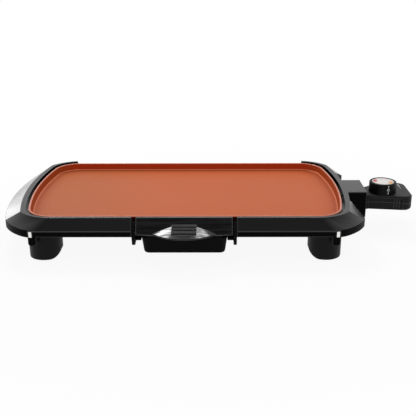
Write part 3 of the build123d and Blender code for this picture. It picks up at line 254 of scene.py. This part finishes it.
RIM_FROM = 0.0712          # height where the rim's rounding starts, painted lighter as a highlight
CASTING_BELOW = 0.058      # under this height, faces that look down are bare casting
SHADE_REACH = 0.03         # how far the painted shade of the walls reaches onto the floor beside them
LEFT_PART = (-0.27, -0.05)
SHADED_WALL_COPPER = ((0.42, 0.032, 0.001, 1), (0.48, 0.04, 0.003, 1))
SHADED_END_WALL_COPPER = (0.345, 0.052, 0.006, 1)
FLOOR_COPPER = ((0.51, 0.105, 0.028, 1), (0.6, 0.136, 0.042, 1))
LEFT_SHADE_COPPER = (0.48, 0.122, 0.037, 1)
FLOOR_SHADE_COPPER = ((0.3, 0.05, 0.012, 1), (0.36, 0.06, 0.017, 1))
SPARK_COPPER = (0.66, 0.22, 0.1, 1)
WALL_FOOT_HIGHLIGHT_COPPER = (0.9, 0.3, 0.15, 1)
RIM_HIGHLIGHT_COPPER = (0.66, 0.21, 0.13, 1)
SHADOWED_OUTER_COPPER = (0.04, 0.006, 0.002, 1)


def coated_plate():
    """Copper-coloured ceramic coat over a cast plate, with painted shade on its walls and on the floor
    beside them and painted highlights on the rim and the walls' foot; the underside stays bare metal.
    """
    made = Finish("copper_ceramic_coat", Specular_IOR_Level=0.1, Coat_Roughness=0.2)
    height = made.place.axis("Z")
    cloud = made.noise(5.0, 3.0)
    mottle = made.noise(60.0, 3.0)
    flakes = made.cells(2400.0)
    spark = made.noise(5200.0, 1.0).ease(0.66, 0.74)
    level = made.up.ease(0.3, 0.95)
    rim = (height - RIM_FROM).ease(0.0, 0.0012) * made.up.ease(0.2, 0.8)
    open_sky = made.face.node(
        "ShaderNodeAmbientOcclusion", {"samples": 8}, {"Distance": SHADE_REACH}, "AO"
    ).ease(0.6, 1.0)
    # painted shade: the walls are coloured darker than the floor, the end walls as a second shaded
    # copy
    shaded_wall_coat = (cloud * 0.5 + mottle * 0.5).tint(*SHADED_WALL_COPPER)
    shaded_wall_coat = abs(made.face.axis("X")).ease(0.2, 0.9).tint(shaded_wall_coat, SHADED_END_WALL_COPPER)
    bare_floor = (cloud * 0.5 + mottle * 0.3 + flakes * 0.2).tint(*FLOOR_COPPER)
    # painted shade: the floor is tinted duller towards its left end
    bare_floor = made.place.axis("X").ease(*LEFT_PART).tint(LEFT_SHADE_COPPER, bare_floor)
    # painted shade: the floor darkens beside the walls, where less sky reaches
    shaded_floor = (cloud * 0.5 + mottle * 0.5).tint(*FLOOR_SHADE_COPPER)
    coat = level.tint(shaded_wall_coat, open_sky.tint(shaded_floor, bare_floor))
    coat = (spark * 0.4).tint(coat, SPARK_COPPER)
    # painted highlight: a lighter line where the walls' fillet meets the floor
    foot = made.up.ease(0.36, 0.5) * (1 - made.up.ease(0.6, 0.82))
    coat = (foot * 0.8).tint(coat, WALL_FOOT_HIGHLIGHT_COPPER)
    # painted highlight along the rim's rounding
    coat = (rim * 0.8).tint(coat, RIM_HIGHLIGHT_COPPER)
    # painted shadow: faces that look down are near black
    coat = made.up.ease(-0.2, -0.05).tint(SHADOWED_OUTER_COPPER, coat)
    casting = made.noise(420.0, 4.0, 0.7).tint(grey(0.22), grey(0.4))
    under = 1 - (made.up + (height - CASTING_BELOW) * 40).ease(-0.9, -0.5)
    made.feed(
        Base_Color=under.tint(coat, casting),
        Roughness=0.4 + 0.07 * mottle + 0.05 * cloud + 0.2 * under,
        Metallic=under * 0.85,
        Coat_Weight=rim * 0.6,
    )
    peel = made.noise(520.0, 2.0)
    made.bump(peel * 0.7 + flakes * 0.2 + under * made.noise(700.0, 3.0), 0.00005)
    return made.material


def turned_metal(name, dark, light, rough, scale):
    """Metal with fine turning or drawing marks."""
    made = Finish(name, Metallic=1.0)
    marks = made.noise(scale, 3.0, 0.6)
    stain = made.noise(45.0, 4.0, 0.6)
    edge_wear_and_highlight = made.edges(0.0005)
    made.feed(
        Base_Color=(marks * 0.3 + stain * 0.5 + edge_wear_and_highlight * 0.3).tint(dark, light),
        Roughness=rough + 0.12 * stain - 0.06 * marks,
    )
    made.bump(marks, 0.00003)
    return made.material


def soft_rubber():
    """Dusty black rubber of the pads and the cord gland."""
    made = Finish("black_rubber", Specular_IOR_Level=0.2)
    grain = made.noise(1200.0, 2.0)
    dust = made.noise(90.0, 4.0, 0.7).ease(0.5, 0.85)
    made.feed(
        Base_Color=dust.tint(grey(0.012), grey(0.035)),
        Roughness=0.7 + 0.15 * dust + 0.06 * grain,
    )
    made.bump(grain, 0.00005)
    return made.material


def fired_ceramic():
    """Unglazed off-white ceramic of the bushes and spacers."""
    made = Finish("steatite_ceramic", Specular_IOR_Level=0.4)
    grain = made.noise(900.0, 3.0)
    cloud = made.noise(80.0, 2.0)
    made.feed(
        Base_Color=(cloud * 0.7 + grain * 0.3).tint((0.66, 0.62, 0.54, 1), (0.8, 0.77, 0.7, 1)),
        Roughness=0.55 + 0.15 * grain,
    )
    made.bump(grain, 0.00004)
    return made.material


dial_low, dial_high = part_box("dial_disc")
dial_middle = (dial_low + dial_high) / 2
dial_radius = (dial_high.x - dial_low.x) / 2
INK = 0.0006               # half width of a printed line
RED_TURN = -0.61           # middles of the two sectors, in half turns from the front
GOLD_TURN = 0.35
TICKS = 12.0


def printed_dial():
    """White disc: a red and a golden sector in a cream ring, with small marks round the edge."""
    made = Finish("printed_dial", Specular_IOR_Level=0.3)
    across = (made.place.axis("X") - dial_middle.x) / dial_radius
    along = (made.place.axis("Y") - dial_middle.y) / dial_radius
    reach = (across * across + along * along) ** 0.5
    turn = made.place.math("ARCTAN2", across, -1 * along) / math.pi
    ring = reach.ease(0.54, 0.57) * (1 - reach.ease(0.9, 0.93))
    red = ring * (1 - abs(turn - RED_TURN).ease(0.12, 0.16))
    gold = ring * (1 - abs(turn - GOLD_TURN).ease(0.11, 0.15))
    tick = made.place.math("PINGPONG", turn * TICKS + 0.5, 0.5).below(0.06)
    ticks = tick * reach.ease(0.8, 0.82) * (1 - reach.ease(0.9, 0.92)) * (1 - red.most(gold))
    paper = made.noise(500.0, 2.0).tint(grey(0.74), grey(0.82))
    body = (ring * 0.5).tint(paper, (0.8, 0.62, 0.5, 1))
    body = red.tint(body, made.noise(700.0).tint((0.5, 0.035, 0.05, 1), (0.62, 0.08, 0.09, 1)))
    body = gold.tint(body, made.noise(700.0).tint((0.72, 0.3, 0.05, 1), (0.8, 0.4, 0.1, 1)))
    body = (ticks * 0.8).tint(body, (0.35, 0.03, 0.03, 1))
    made.feed(Base_Color=body, Roughness=0.36 + 0.08 * made.noise(60.0, 2.0))
    made.bump(made.noise(1500.0, 2.0), 0.00002)
    return made.material


INDEX_TURN = math.radians(12.5)


def knob_satin():
    """Satin black knob with a white index line and a small ring down its side."""
    made = Finish("knob_satin_black", Specular_IOR_Level=0.1)
    low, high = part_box("temperature_knob")
    across = made.place.axis("X") - dial_middle.x
    along = made.place.axis("Y") - dial_middle.y
    rise = (made.place.axis("Z") - low.z) / (high.z - low.z)
    side = across * math.cos(INDEX_TURN) + along * math.sin(INDEX_TURN)
    front = across * math.sin(INDEX_TURN) - along * math.cos(INDEX_TURN)
    outer = front.above(dial_radius * 1.1)
    line = abs(side).below(INK) * abs(rise - 0.5).above(0.2) * abs(rise - 0.5).below(0.42)
    ring_reach = (side * side + (made.place.axis("Z") - (low.z + high.z) / 2) ** 2) ** 0.5
    ring = abs(ring_reach - 3 * INK).below(INK * 0.7)
    paint_matte(
        made,
        dark=0.0012,
        light=0.004,
        edge=0.012,
        rough=0.4,
        grain_scale=1400.0,
        grain=0.00004,
        print_mask=outer * line.most(ring),
    )
    return made.material


MARK_X = 0.3342            # the pointer beside the knob
MARK_Y = (0.029, 0.056)
MARK_GAP = 0.006


def grained_case(name, marked):
    """Grained black case; the upper half has a printed pointer beside the knob."""
    made = Finish(name, Specular_IOR_Level=0.17)
    x = made.place.axis("X")
    y = made.place.axis("Y")
    middle = (MARK_Y[0] + MARK_Y[1]) / 2
    half_stroke = (MARK_Y[1] - MARK_Y[0]) / 2 - MARK_GAP
    stroke = abs(x - MARK_X).below(INK) * abs(y - middle).below(half_stroke)
    dot_reach = ((x - MARK_X) ** 2 + (y - MARK_Y[0]) ** 2) ** 0.5
    marks = stroke.most(dot_reach.below(2 * INK)) * made.up.above(0.9)
    paint_matte(
        made,
        dark=0.006,
        light=0.026,
        edge=0.12,
        rough=0.46,
        grain_scale=900.0,
        grain=0.00014,
        print_mask=marks if marked else None,
    )
    return made.material


frame_gloss = frame_black()
fascia_gloss = fascia_black()
SATIN_BLACK = {"dark": 0.002, "light": 0.006, "edge": 0.015}
foot_satin = moulded_matte(
    "foot_satin_black", **SATIN_BLACK, shine=0.14, rough=0.4, grain_scale=1600.0, grain=0.00002
)
tray_matte = moulded_matte(
    "tray_matte_black", **SATIN_BLACK, shine=0.06, rough=0.55, grain_scale=1500.0, grain=0.00004
)
case_upper = grained_case("case_grained_printed", True)
case_lower = grained_case("case_grained_black", False)
knob_plastic = knob_satin()
steel = turned_metal(
    "turned_steel", dark=(0.42, 0.42, 0.41, 1), light=(0.62, 0.62, 0.6, 1), rough=0.28, scale=1600.0
)
screw_steel = turned_metal(
    "zinc_plate", dark=(0.36, 0.36, 0.34, 1), light=(0.56, 0.55, 0.5, 1), rough=0.32, scale=1100.0
)
element_steel = turned_metal(
    "heated_sheath", dark=(0.07, 0.065, 0.06, 1), light=(0.2, 0.19, 0.18, 1), rough=0.45, scale=700.0
)
clip_steel = turned_metal(
    "bright_clip_steel",
    dark=(0.78, 0.78, 0.77, 1),
    light=(0.93, 0.93, 0.92, 1),
    rough=0.22,
    scale=1800.0,
)
brass = turned_metal(
    "contact_brass", dark=(0.5, 0.34, 0.12, 1), light=(0.7, 0.52, 0.22, 1), rough=0.3, scale=1300.0
)
rubber = soft_rubber()
ceramic = fired_ceramic()
dial = printed_dial()
plate = coated_plate()

finishes = {
    "base_frame": frame_gloss,
    "griddle_plate": plate,
    "heating_element": element_steel,
    "terminal_pins": steel,
    "terminal_bushes": ceramic,
    "front_left_foot": foot_satin,
    "front_right_foot": foot_satin,
    "rear_left_foot": foot_satin,
    "rear_right_foot": foot_satin,
    "foot_pads": rubber,
    "foot_screws": screw_steel,
    "plate_screws": screw_steel,
    "tray_guide": tray_matte,
    "guide_screws": screw_steel,
    "frame_clips": clip_steel,
    "drip_tray": tray_matte,
    "tray_front": fascia_gloss,
    "tray_front_screws": screw_steel,
    "control_lower_case": case_lower,
    "control_upper_case": case_upper,
    "case_screws": screw_steel,
    "sensing_rod": steel,
    "rod_collar": steel,
    "contact_sleeves": brass,
    "thermostat_bracket": steel,
    "ceramic_spacers": ceramic,
    "fixed_contact_blade": brass,
    "moving_contact_blade": brass,
    "cord_gland": rubber,
    "temperature_knob": knob_plastic,
    "dial_disc": dial,
    "knob_spindle": brass,
}
for name, finish in finishes.items():
    held = nodes[name].data.materials
    held.clear()
    held.append(finish)

# Floor
FLOOR_RADIUS = 30.0
FLOOR_DROP = 0.0002
floor_mesh = bpy.data.meshes.new("floor")
shape = bmesh.new()
bmesh.ops.create_circle(shape, cap_ends=True, segments=96, radius=FLOOR_RADIUS)
shape.to_mesh(floor_mesh)
shape.free()
floor = bpy.data.objects.new("floor", floor_mesh)
floor.location.z = -FLOOR_DROP
scene.collection.objects.link(floor)
SHADOW_SHARE = 0.08        # how much of the lit floor shows in the white
SHADOW_NEAR = 0.3
SHADOW_FAR = 0.75
floor_paint = bpy.data.materials.new("white_floor")
floor_paint.use_nodes = True
floor_tree = floor_paint.node_tree
matte = floor_tree.nodes["Principled BSDF"]
matte.inputs["Roughness"].default_value = 1.0
matte.inputs["Specular IOR Level"].default_value = 0.0
matte.inputs["Base Color"].default_value = grey(0.85)
lit = Tone(matte.outputs[0])
white = lit.node("ShaderNodeEmission", None, {"Color": grey(1.0)})


def background_rays(start):
    """1 for the rays that show the background: seen, mirrored or through glass."""
    seen, mirrored, through = (
        start.node("ShaderNodeLightPath", None, None, f"Is {kind} Ray")
        for kind in ("Camera", "Glossy", "Transmission")
    )
    return seen.most(mirrored).most(through)


spot = lit.node("ShaderNodeTexCoord", None, None, "Object")
apart = (spot.axis("X") ** 2 + spot.axis("Y") ** 2) ** 0.5
shade = SHADOW_SHARE * (1 - apart.ease(SHADOW_NEAR, SHADOW_FAR))
shown = background_rays(lit) * (1 - shade)
floor_mix = shown.node("ShaderNodeMixShader", None, {0: shown, 1: lit, 2: white})
floor_tree.links.new(floor_mix.socket, floor_tree.nodes["Material Output"].inputs["Surface"])
floor_mesh.materials.append(floor_paint)

# Sky
SKY_FILL = 0.57            # light that the white room gives; what shows of it stays at 1
world = bpy.data.worlds.new("white_room")
world.use_nodes = True
scene.world = world
sky = world.node_tree.nodes["Background"]
sky.inputs["Color"].default_value = grey(1.0)
strength = SKY_FILL + (1.0 - SKY_FILL) * background_rays(Tone(sky.outputs[0]))
world.node_tree.links.new(strength.socket, sky.inputs["Strength"])


# Lamps
def softbox(name, place, aim, width, height, power):
    """Adds a rectangular lamp that looks from its place to its aim."""
    lamp = bpy.data.lights.new(name, "AREA")
    lamp.shape = "RECTANGLE"
    lamp.size = width
    lamp.size_y = height
    lamp.energy = power
    held = bpy.data.objects.new(name, lamp)
    held.location = place
    held.rotation_euler = (Vector(aim) - Vector(place)).to_track_quat("-Z", "Y").to_euler()
    scene.collection.objects.link(held)


TRAY_FRONT_AIM = (-0.04, -0.16, 0.05)
softbox("back_left_box", (-0.53, 0.98, 1.53), TRAY_FRONT_AIM, width=0.5, height=0.44, power=11)
softbox("back_right_box", (0.3, 0.86, 1.65), TRAY_FRONT_AIM, width=0.4, height=0.32, power=4)
LEFT_END_AIM = (-0.33, -0.03, 0.06)
LEFT_CORNER_AIM = (-0.32, -0.09, 0.06)
softbox("left_rim_box", (-1.456, 1.74, 0.17), LEFT_END_AIM, width=0.7, height=0.33, power=0.86)
softbox("left_corner_box", (-1.35, 1.38, 0.21), LEFT_CORNER_AIM, width=0.35, height=0.32, power=0.6)

# Camera
lens = bpy.data.cameras.new("camera")
lens.sensor_width = 36.0
lens.lens = FOCAL_PIXELS / PHOTO_SIZE * lens.sensor_width
camera = bpy.data.objects.new("camera", lens)
level_reach = math.cos(PITCH)
forward = Vector((math.sin(YAW) * level_reach, math.cos(YAW) * level_reach, -math.sin(PITCH)))
right = Vector((math.cos(YAW), -math.sin(YAW), 0.0))
upward = right.cross(forward)
rolled_right = right * math.cos(ROLL) - upward * math.sin(ROLL)
rolled_up = rolled_right.cross(forward)
turned = Matrix((rolled_right, rolled_up, -forward)).transposed().to_4x4()
camera.matrix_world = Matrix.Translation(EYE) @ turned
scene.collection.objects.link(camera)
scene.camera = camera
